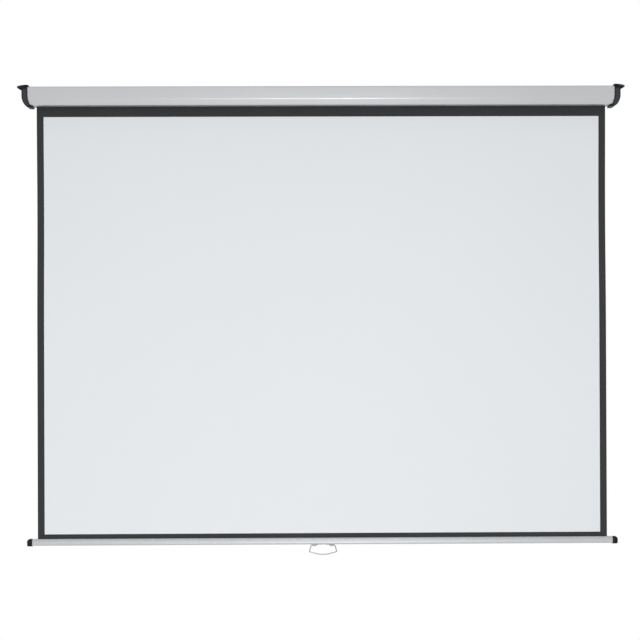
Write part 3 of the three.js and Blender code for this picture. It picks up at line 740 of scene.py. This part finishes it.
@dataclass
class EndCap:
    """A moulded end cap: a textured front field and a smooth rim, darker as painted shade."""

    side: Side
    rim: float = 2.6 * MM
    step: float = 0.25 * MM
    edge: float = 0.35 * MM
    field_back: float = -45.6 * MM
    field_tilt: float = -0.6
    field_area: float = 20 * MM * MM
    tongue_top: float = -24 * MM

    def build(self, field_material: Material, rim_shade_material: Material) -> None:
        """Makes the cap from a softened copy of its solid.

        Args:
            field_material: The material of the textured field.
            rim_shade_material: The material of everything else, darker as painted shade.
        """
        node = f"end_cap_{self.side.label}"
        bm = copied(node)
        evened(bm, self.tongue_top)
        softened(bm, self.edge)
        front = [
            face for face in bm.faces
            if face.normal.y < self.field_tilt
            and face.calc_center_median().y < self.field_back
            and face.calc_area() > self.field_area
        ]
        bmesh.ops.inset_region(
            bm, faces=front, thickness=self.rim, depth=-self.step, use_even_offset=True
        )
        # Faces off the front field take the darker rim colour: painted shade on the edges and
        # flange.
        for face in bm.faces:
            face.material_index = 0 if face in front else 1
        finished(
            f"cap_{self.side.label}", bm, Body.CASE,
            [field_material, rim_shade_material], [node], outward=False,
        )


@dataclass
class PanScrew:
    """A pan-head screw along X with a cross recess in its head."""

    name: str
    side: Side
    y: float
    z: float
    seat: float = 780.1 * MM
    length: float = 22 * MM
    head_radius: float = 3.1 * MM
    head_height: float = 2 * MM
    head_rim: float = 0.9 * MM
    shoulder: float = 0.35 * MM
    dome: tuple[float, float] = (0.86, 0.66)
    shank_radius: float = 1.35 * MM
    recess_arm: float = 1.7 * MM
    recess_half: float = 0.45 * MM
    recess_depth: float = 1.1 * MM

    def build(self, steel: Material) -> None:
        """Turns the screw, presses the cross into its head and puts it in place.

        Args:
            steel: Its material.
        """
        bm = bmesh.new()
        tip = self.seat - self.length
        head = self.seat + self.head_height
        shank = self.shank_radius
        profile = [
            (tip, 0.0), (tip + shank, shank), (self.seat, shank),
            (self.seat, self.head_radius), (self.seat + self.head_rim, self.head_radius),
            (head - self.shoulder, self.head_radius * self.dome[0]),
            (head, self.head_radius * self.dome[1]),
        ]
        line = [Vector((x, radius, 0)) for x, radius in profile]
        turned(bm, line, Vector(), Vector((1, 0, 0)), steps=24)
        rim = [edge for edge in bm.edges if edge.is_boundary]
        bmesh.ops.contextual_create(bm, geom=rim)
        self._press_cross(bm)
        bmesh.ops.translate(bm, verts=bm.verts, vec=Vector((0, self.y, self.z)))
        bmesh.ops.scale(bm, vec=Vector((self.side.value, 1, 1)), verts=bm.verts)
        place = f"{self.side.label}_{self.name}"
        finished(
            f"screw_{place}", bm, Body.CASE, [steel], [f"cap_screw_{place}"]
        )

    def _top(self, bm: BMesh) -> list[BMFace]:
        """Lists the faces in the flat top of the head."""
        level = self.seat + self.head_height - 0.01 * MM
        return [face for face in bm.faces if face.calc_center_median().x > level]

    def _press_cross(self, bm: BMesh) -> None:
        """Presses a cross into the flat of the head.

        Args:
            bm: The screw.
        """
        half, arm = self.recess_half, self.recess_arm
        for normal in (Vector((0, 1, 0)), Vector((0, 0, 1))):
            for offset in (-arm, -half, half, arm):
                flat = self._top(bm)
                parts = [part for face in flat for part in (*face.verts, *face.edges, face)]
                bmesh.ops.bisect_plane(
                    bm, geom=list(dict.fromkeys(parts)), dist=0.0001 * MM,
                    plane_co=normal * offset, plane_no=normal,
                )
        cross = []
        for face in self._top(bm):
            centre = face.calc_center_median()
            near, far = sorted((abs(centre.y), abs(centre.z)))
            if near < half and far < arm:
                cross.append(face)
        floor = bmesh.ops.extrude_face_region(bm, geom=cross)["geom"]
        bmesh.ops.delete(bm, geom=cross, context="FACES")
        down = Vector((-self.recess_depth, 0, 0))
        bmesh.ops.translate(bm, verts=only(BMVert, floor), vec=down)


@dataclass
class Roller:
    """The tube, its plugs, the idler and the cloth that stays wound on it."""

    cloth_half: float = 750 * MM
    turns: float = 1.5
    steps: int = 48
    pitch: float = 0.95 * MM
    outer: float = 18.1 * MM
    thickness: float = 0.45 * MM

    def wound_cloth(self) -> BMesh:
        """Winds the cloth round the tube, from the point where it leaves for the slot.

        Returns:
            The wound cloth.
        """
        bm = bmesh.new()
        points = []
        for step in range(int(self.turns * self.steps) + 1):
            angle = 2 * math.pi * step / self.steps
            radius = self.outer - self.pitch * step / self.steps
            y, z = radius * math.cos(angle), radius * math.sin(angle)
            points.append(Vector((-self.cloth_half, -AXIS_DEPTH + y, z)))
        _, edges = wire_path(bm, points)
        pulled(bm, edges, 2 * self.cloth_half, self.thickness, Vector((0, -AXIS_DEPTH, 0)))
        return bm

    def build(self, finishes: Wardrobe) -> None:
        """Makes the wound cloth and dresses the rest of the roller.

        Args:
            finishes: The materials.
        """
        bm = self.wound_cloth()
        bmesh.ops.recalc_face_normals(bm, faces=bm.faces)
        for face in bm.faces:
            out = face.calc_center_median() + Vector((0, AXIS_DEPTH, 0))
            face.material_index = 0 if face.normal.yz.dot(out.yz) < 0 else 1
        wound = finished(
            "wound_cloth", bm, Body.ROLLER,
            [finishes.white_cloth, finishes.black_border], ["cloth_wraps"], outward=False,
        )
        dressed(
            ["roller_plug_left", "roller_plug_right", "idler_bush", "centre_bush", "spring_anchor"],
            finishes.nylon,
        )
        dressed(["roller_tube", "idler_pin", "spring_spindle", "ratchet_hub"], finishes.steel)
        dressed(["pawl_upper", "pawl_lower", "pawl_pin_upper", "pawl_pin_lower"], finishes.steel)
        dressed(["torsion_spring", "spindle_clip"], finishes.spring_steel)


@dataclass
class ScreenCloth:
    """The hanging cloth: white front, black border and black back, with its hem round the rod."""

    half_width: float = 750 * MM
    white_half: float = 732 * MM
    white_top: float = -52 * MM
    white_bottom: float = -1150 * MM
    hem_level: float = -1165.4 * MM
    front: float = -10.37 * MM
    thickness: float = 0.55 * MM
    rod_level: float = -1168.2 * MM
    rod_radius: float = 2.2 * MM
    travel: float = 1131 * MM
    columns: int = 60
    rows: int = 48
    neck_in: float = 1.1 * MM
    neck_pace: float = 1.9
    ripple: float = 0.3 * MM
    ripple_pace: float = 7.0
    ripple_shift: float = 0.7
    hem_outside: float = 0.72 * MM
    hem_middle: float = 0.5 * MM
    hem_wall: float = 0.42 * MM

    def hanging(self) -> BMesh:
        """Hangs the cloth as a grid, with its border lines cut in.

        Returns:
            The cloth as a single layer.
        """
        bm = bmesh.new()
        bmesh.ops.create_grid(bm, x_segments=self.columns, y_segments=self.rows, size=0.5)
        stand = Matrix.Rotation(math.pi / 2, 4, "X")
        bmesh.ops.transform(bm, matrix=stand, verts=bm.verts)
        size = Vector((2 * self.half_width, 1, -self.hem_level))
        bmesh.ops.scale(bm, vec=size, verts=bm.verts)
        bmesh.ops.translate(bm, verts=bm.verts, vec=Vector((0, self.front, self.hem_level / 2)))
        across, up = Vector((1, 0, 0)), Vector((0, 0, 1))
        cuts = [(-self.white_half, across), (self.white_half, across)]
        cuts += [(self.white_top, up), (self.white_bottom, up)]
        for place, normal in cuts:
            bmesh.ops.bisect_plane(
                bm, geom=[*bm.verts, *bm.edges, *bm.faces], dist=0.001 * MM,
                plane_co=place * normal, plane_no=normal,
            )
        for vert in bm.verts:
            vert.co += self._hang(vert.co)
        return bm

    def _hang(self, place: Vector) -> Vector:
        """Works out how far the hanging cloth strays from flat at a place.

        Args:
            place: A point of the flat cloth.

        Returns:
            The shift, from sides that draw in below the housing and from slow ripples.
        """
        down = max(0.0, min(1.0, place.z / self.hem_level))
        side = place.x / self.half_width
        neck = math.sin(math.pi * min(1.0, down * self.neck_pace)) ** 2
        draw = -side * abs(side) * self.neck_in * neck
        wave = math.sin(side * self.ripple_pace + self.ripple_shift)
        return Vector((draw, self.ripple * wave * math.sin(math.pi * down) ** 2, 0))

    def _painted(self, bm: BMesh) -> None:
        """Gives the cloth its thickness and marks the white area, the border and the back.

        Args:
            bm: The single-layer cloth.
        """
        walled(bm, bm.faces[:], self.thickness, Vector((0, 1, self.hem_level / 2)))
        bmesh.ops.recalc_face_normals(bm, faces=bm.faces)
        for face in bm.faces:
            centre = face.calc_center_median()
            inside = self.white_bottom < centre.z < self.white_top
            inside = inside and abs(centre.x) < self.white_half
            face.material_index = 0 if face.normal.y < -0.5 and inside else 1

    def hem(self) -> BMesh:
        """Wraps the end of the cloth round the rod in the bar.

        Returns:
            The hem.
        """
        bm = bmesh.new()
        middle = Vector((-self.half_width, -SHEET_MID, self.rod_level))
        ring = circle_across(bm, middle, self.rod_radius + self.hem_outside, segments=28)
        pulled(bm, linked(ring), 2 * self.half_width, self.hem_wall, Vector((0, *middle.yz)))
        return bm

    def build(self, finishes: Wardrobe) -> None:
        """Makes the hanging cloth and its hem, and dresses the rod.

        Args:
            finishes: The materials.
        """
        bm = self.hanging()
        self._painted(bm)
        sheet = finished(
            "screen_sheet", bm, Body.CASE,
            [finishes.white_cloth, finishes.black_border], ["screen_cloth", "mask_border"],
            outward=False,
        )
        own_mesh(sheet)
        hem = finished("cloth_hem", self.hem(), Body.BAR, [finishes.black_border])
        dressed(["hem_rod"], finishes.steel)


@dataclass
class BottomBar:
    """The slotted aluminium bar that weighs the cloth down, with its two rubber stoppers.

    In millimetres: the slot's radius; each corner of the section as its distance from the
    middle, its depth under the top and its radius; the chamber as its width, height, floor
    and radius.
    """

    half_length: float = 764 * MM
    height: float = 17.5 * MM
    slot: float = 2.2 * MM
    slot_radius: float = 0.35
    rod_drop: float = 6.2 * MM
    channel: float = 3.25 * MM
    half_section: tuple[Triple, ...] = (
        (3.6, 0.0, 1.2), (7.0, 3.4, 1.6), (7.0, 4.1, 0.0), (6.55, 4.35, 0.0), (6.55, 4.7, 0.0),
        (7.05, 4.95, 0.0), (7.05, 10.2, 4.0), (7.25, 13.9, 1.0), (6.0, 17.5, 2.6),
    )
    chamber: tuple[float, float, float, float] = (8.0, 3.8, 1.5, 1.0)
    stopper_edge: float = 0.5 * MM

    def outline(self, bm: BMesh) -> None:
        """Draws the bar's outer line with its slot and rod channel.

        Args:
            bm: The mesh that takes the lines.
        """
        left = -self.half_length
        half_slot = self.slot / 2
        sink = self.rod_drop - math.sqrt(self.channel**2 - half_slot**2)
        half = [(half_slot / MM, sink / MM, 0.0), (half_slot / MM, 0.0, self.slot_radius)]
        half += self.half_section
        corners = [(-out, drop, radius) for out, drop, radius in half] + half[::-1]
        line = [
            (Vector((left, -SHEET_MID + y * MM, BAR_TOP - drop * MM)), radius * MM)
            for y, drop, radius in corners
        ]
        rounded_wire(bm, line, steps=6)
        ends = [vert for vert in bm.verts if len(vert.link_edges) == 1]
        bmesh.ops.spin(
            bm, geom=[max(ends, key=lambda vert: vert.co.y)],
            cent=Vector((left, -SHEET_MID, BAR_TOP - self.rod_drop)),
            axis=Vector((-1, 0, 0)), dvec=Vector(),
            angle=2 * math.pi - 2 * math.asin(half_slot / self.channel),
            steps=22, use_merge=False, use_duplicate=False,
        )
        bmesh.ops.remove_doubles(bm, verts=bm.verts, dist=0.01 * MM)

    def hollow(self, bm: BMesh) -> None:
        """Draws the rounded hollow in the bar's lower half.

        Args:
            bm: The mesh that takes the lines.
        """
        width, height, floor, radius = (size * MM for size in self.chamber)
        low = BAR_TOP - self.height + floor
        half = width / 2
        points = [(-half, low), (half, low), (half, low + height), (-half, low + height)]
        line = [(Vector((-self.half_length, -SHEET_MID + y, z)), radius) for y, z in points]
        rounded_wire(bm, line, steps=3, closed=True)

    def extrusion(self) -> BMesh:
        """Fills the section and pulls it to the bar's length.

        Returns:
            The bar.
        """
        bm = bmesh.new()
        self.outline(bm)
        self.hollow(bm)
        bmesh.ops.triangle_fill(bm, edges=bm.edges[:], use_beauty=True, use_dissolve=False)
        made = bmesh.ops.extrude_face_region(bm, geom=bm.faces[:])["geom"]
        along = Vector((2 * self.half_length, 0, 0))
        bmesh.ops.translate(bm, verts=only(BMVert, made), vec=along)
        return bm

    def stopper(self, side: Side, rubber: Material) -> None:
        """Makes a bar end cap from a softened copy of its solid.

        Args:
            side: The bar's end.
            rubber: Its material.
        """
        node = f"bar_end_cap_{side.label}"
        bm = copied(node)
        evened(bm)
        softened(bm, self.stopper_edge, angle=0.5, steps=3)
        finished(
            f"bar_stopper_{side.label}", bm, Body.BAR, [rubber], [node],
            outward=False,
        )

    def build(self, finishes: Wardrobe) -> None:
        """Makes the bar and its stoppers.

        Args:
            finishes: The materials.
        """
        finished(
            "weight_bar", self.extrusion(), Body.BAR,
            [finishes.bar_aluminium], ["bottom_bar"], smooth_under=28.0,
        )
        for side in Side:
            self.stopper(side, finishes.cap_rim)


@dataclass
class PullHandle:
    """The wire handle that swings under the bar, its stamped bracket and two rivets.

    A corner of the rivet is given as its radius and its drop, in millimetres.
    """

    wire_radius: float = 1.35 * MM
    pivot: Vector = field(default_factory=lambda: Vector((0, -SHEET_MID, -1182 * MM)))
    foot: float = 16.6 * MM
    shoulder: float = 31 * MM
    corner: tuple[float, float] = (36.4 * MM, 17.3 * MM)
    grip: tuple[float, float] = (9.5 * MM, 24.1 * MM)
    bends: Triple = (2.4 * MM, 2.6 * MM, 9 * MM)
    half_length: float = 28 * MM
    half_depth: float = 3.8 * MM
    plate: float = 1 * MM
    knuckle_radius: float = 2.5 * MM
    knuckle_inner: float = 18.4 * MM
    knuckle_outer: float = 27.95 * MM
    knuckle_bore: float = 1.65 * MM
    edge: float = 0.25 * MM
    wire_edge: float = 0.3 * MM
    rivet_offset: float = 13 * MM
    rivet_line: tuple[tuple[float, float], ...] = (
        (0.0, 1.5), (0.9, 1.42), (1.55, 1.1), (1.95, 0.55), (2.1, 0.2), (2.1, 0.02),
        (1.2, 0.0), (1.2, -3.4), (0.0, -3.5),
    )

    def centre_line(self) -> list[Vector]:
        """Draws the wire's centre line with its bends rounded.

        Returns:
            The points from the left foot to the right one.
        """
        half = [
            (self.foot, 0.0), (self.shoulder, 0.0), (self.corner[0], -self.corner[1]),
            (self.grip[0], -self.grip[1]),
        ]
        corners = [(-x, z) for x, z in half] + half[::-1]
        radii = [0.0, *self.bends, *reversed(self.bends), 0.0]
        bm = bmesh.new()
        points = [self.pivot + Vector((x, 0, z)) for x, z in corners]
        rounded_wire(bm, list(zip(points, radii)), steps=8)
        ends = [vert for vert in bm.verts if len(vert.link_edges) == 1]
        walk = [min(ends, key=lambda vert: vert.co.x)]
        while len(walk) < len(bm.verts):
            near = (edge.other_vert(walk[-1]) for edge in walk[-1].link_edges)
            walk.append(next(vert for vert in near if vert not in walk))
        line = [vert.co.copy() for vert in walk]
        bm.free()
        return line

    def wire(self) -> BMesh:
        """Sweeps a circle along the centre line and closes its ends.

        Returns:
            The wire.
        """
        points = self.centre_line()
        bm = bmesh.new()
        edges = linked(circle_across(bm, points[0], self.wire_radius, segments=20))
        heading = (points[1] - points[0]).normalized()
        for index in range(1, len(points)):
            after = points[min(index + 1, len(points) - 1)] - points[index - 1]
            after.normalize()
            made = bmesh.ops.extrude_edge_only(bm, edges=edges)["geom"]
            ring = only(BMVert, made)
            edges = [edge for edge in only(BMEdge, made) if all(v in ring for v in edge.verts)]
            bmesh.ops.translate(bm, verts=ring, vec=points[index] - points[index - 1])
            turn = heading.rotation_difference(after).to_matrix()
            bmesh.ops.rotate(bm, cent=points[index], matrix=turn, verts=ring)
            heading = after
        rims = [edge for edge in bm.edges if edge.is_boundary]
        bmesh.ops.holes_fill(bm, edges=rims, sides=0)
        softened(bm, self.wire_edge, angle=1.2)
        return bm

    def bracket(self) -> BMesh:
        """Stamps the plate and rolls a knuckle at each end of it.

        Returns:
            The bracket.
        """
        bm = bmesh.new()
        top = self.pivot.z + self.knuckle_radius
        cube = bmesh.ops.create_cube(bm, size=1)["verts"]
        size = Vector((2 * self.half_length, 2 * self.half_depth, self.plate))
        bmesh.ops.scale(bm, vec=size, verts=cube)
        middle = Vector((0, self.pivot.y, top - self.plate / 2))
        bmesh.ops.translate(bm, verts=cube, vec=middle)
        softened(bm, self.edge, angle=1.0)
        bore, outside = self.knuckle_bore, self.knuckle_radius
        for side in Side:
            start, end = sorted(side.value * x for x in (self.knuckle_inner, self.knuckle_outer))
            profile = [
                (start, bore), (start, outside - self.edge), (start + self.edge, outside),
                (end - self.edge, outside), (end, outside - self.edge), (end, bore), (start, bore),
            ]
            line = [self.pivot + Vector((x, radius, 0)) for x, radius in profile]
            turned(bm, line, self.pivot, Vector((1, 0, 0)))
        return bm

    def rivet(self, side: Side) -> BMesh:
        """Turns a domed blind rivet.

        Args:
            side: The side of the bracket that it is on.

        Returns:
            The rivet.
        """
        bm = bmesh.new()
        seat = self.pivot.z + self.knuckle_radius - self.plate
        foot = Vector((side.value * self.rivet_offset, self.pivot.y, seat))
        line = [foot + Vector((radius * MM, 0, -drop * MM)) for radius, drop in self.rivet_line]
        turned(bm, line, foot, Vector((0, 0, 1)))
        return bm

    def build(self, zinc: Material) -> None:
        """Makes the handle, its bracket and its rivets.

        Args:
            zinc: Their material.
        """
        finished("wire_handle", self.wire(), Body.HANDLE, [zinc], ["pull_handle"])
        bracket = self.bracket()
        finished("hinge_bracket", bracket, Body.BAR, [zinc], ["handle_bracket"])
        for side in Side:
            finished(
                f"rivet_{side.label}", self.rivet(side), Body.BAR, [zinc],
                [f"handle_rivet_{side.label}"],
            )


# ---------------- studio


@dataclass(frozen=True)
class Softbox:
    """A rectangular lamp, which shows in shiny surfaces only if it is mirrored."""

    name: str
    place: Triple
    aim: Triple
    size: tuple[float, float]
    watts: float
    mirrored: bool = False

    def build(self) -> None:
        """Hangs the lamp."""
        light = bpy.data.lights.new(self.name, "AREA")
        light.shape = "RECTANGLE"
        light.size, light.size_y = self.size
        light.energy = self.watts
        lamp = placed(self.name, light)
        lamp.location = self.place
        lamp.visible_glossy = self.mirrored
        ray = Vector(self.aim) - Vector(self.place)
        lamp.rotation_euler = ray.to_track_quat("-Z", "Y").to_euler()


CLOTH_MIDDLE = (0, 0, -0.6)
# A broad lamp in front, a low one, and two strips that shine on the metal.
LAMPS = (
    Softbox("lamp_front", (-0.5, -3.8, -0.1), CLOTH_MIDDLE, (3.0, 2.0), 6.5),
    Softbox("lamp_low", (-0.4, -2.6, -2.0), CLOTH_MIDDLE, (2.6, 1.0), 20.0),
    Softbox("lamp_strip", (0.19, -3.0, -0.82), (0.12, 0, -0.01), (0.74, 0.16), 19.5, True),
    Softbox("lamp_side", (-0.64, -3.0, -0.82), (-0.4, 0, -0.01), (0.3, 0.16), 3.2, True),
)


@dataclass
class Studio:
    """The white surroundings, the lamps and the camera."""

    floor_level: float = -2.3
    floor_size: float = 40.0
    world_light: float = 0.62
    place: Triple = (-0.0571, -4.3241, -0.6052)
    yaw: float = 0.01187
    pitch: float = 0.00384
    roll: float = -0.00358
    focal_pixels: float = 1636.06
    image_pixels: float = 640.0
    sensor: float = 36.0

    def _camera(self) -> None:
        """Puts the camera where the photograph was taken from."""
        level = math.cos(self.pitch)
        right = Vector((math.cos(self.yaw), -math.sin(self.yaw), 0))
        ahead = Vector((-right.y * level, right.x * level, math.sin(self.pitch)))
        up = right.cross(ahead)
        tilted_right = math.cos(self.roll) * right + math.sin(self.roll) * up
        tilted_up = math.cos(self.roll) * up - math.sin(self.roll) * right
        turn = Matrix((tilted_right, tilted_up, -ahead)).transposed()
        lens = bpy.data.cameras.new("camera")
        lens.sensor_width = self.sensor
        lens.lens = self.sensor * self.focal_pixels / self.image_pixels
        lens.clip_end = 100
        camera = placed("camera", lens)
        camera.matrix_world = Matrix.Translation(self.place) @ turn.to_4x4()
        bpy.context.scene.camera = camera

    def _background(
        self, graph: Graph, lit: bpy.types.Node, white: bpy.types.Node
    ) -> bpy.types.Node:
        """Shows plain white to the camera and in reflections, and the lit shader to all other rays.

        Args:
            graph: The tree of the world or of the floor's material.
            lit: The shader that gives or takes light.
            white: The plain white one.

        Returns:
            The mixed shader.
        """
        rays = graph.add(Node.LIGHT_PATH).outputs
        seen = graph.math("MAXIMUM", rays["Is Camera Ray"], rays["Is Glossy Ray"])
        seen = graph.math("MAXIMUM", seen, rays["Is Transmission Ray"])
        return graph.add(Node.MIX_SHADER, None, seen, lit, white)

    def _world(self) -> None:
        """Lights the scene evenly and shows a white background."""
        world = bpy.data.worlds.new("studio")
        bpy.context.scene.world = world
        world.use_nodes = True
        graph = Graph(world.node_tree)
        lit = graph.add(Node.BACKGROUND, Color=(0.98, 0.99, 1.0), Strength=self.world_light)
        white = graph.add(Node.BACKGROUND, Color=(1.0, 1.0, 1.0), Strength=1.0)
        graph.add(Node.WORLD_OUT, Surface=self._background(graph, lit, white))

    def _floor(self) -> None:
        """Lays the pale floor far below the screen, clear when seen from under it."""
        bm = bmesh.new()
        low = Matrix.Translation((0, 0, self.floor_level))
        bmesh.ops.create_grid(
            bm, x_segments=1, y_segments=1, size=self.floor_size / 2, matrix=low
        )
        mesh = bpy.data.meshes.new("floor")
        bm.to_mesh(mesh)
        bm.free()
        material = bpy.data.materials.new("floor")
        material.use_nodes = True
        graph = Graph(material.node_tree)
        matte = graph.add(Node.DIFFUSE, Color=(0.86, 0.86, 0.86))
        glow = graph.add(Node.EMISSION, Color=(1.0, 1.0, 1.0), Strength=1.0)
        below = graph.add(Node.GEOMETRY).outputs["Backfacing"]
        clear = graph.add(Node.TRANSPARENT)
        pale = self._background(graph, matte, glow)
        sides = graph.add(Node.MIX_SHADER, None, below, pale, clear)
        graph.add(Node.MATERIAL_OUT, Surface=sides)
        mesh.materials.append(material)
        floor = placed("floor", mesh)

    def build(self) -> None:
        """Sets up the studio."""
        bpy.context.scene.view_settings.view_transform = "Standard"
        self._camera()
        self._world()
        self._floor()
        for lamp in LAMPS:
            lamp.build()


def main() -> None:
    """Builds the studio and the screen, part by part."""
    logging.basicConfig(level=logging.INFO, format="%(message)s")
    Studio().build()
    finishes = Wardrobe()
    housing = Housing()
    housing.build(finishes.aluminium)
    for side in Side:
        EndCap(side).build(finishes.cap_field, finishes.cap_rim)
        for name, (y, z, _) in zip(("front", "back"), housing.channels):
            PanScrew(name, side, y * MM, z * MM).build(finishes.steel)
    Roller().build(finishes)
    ScreenCloth().build(finishes)
    BottomBar().build(finishes)
    PullHandle().build(finishes.zinc)


if __name__ == "__main__":
    main()
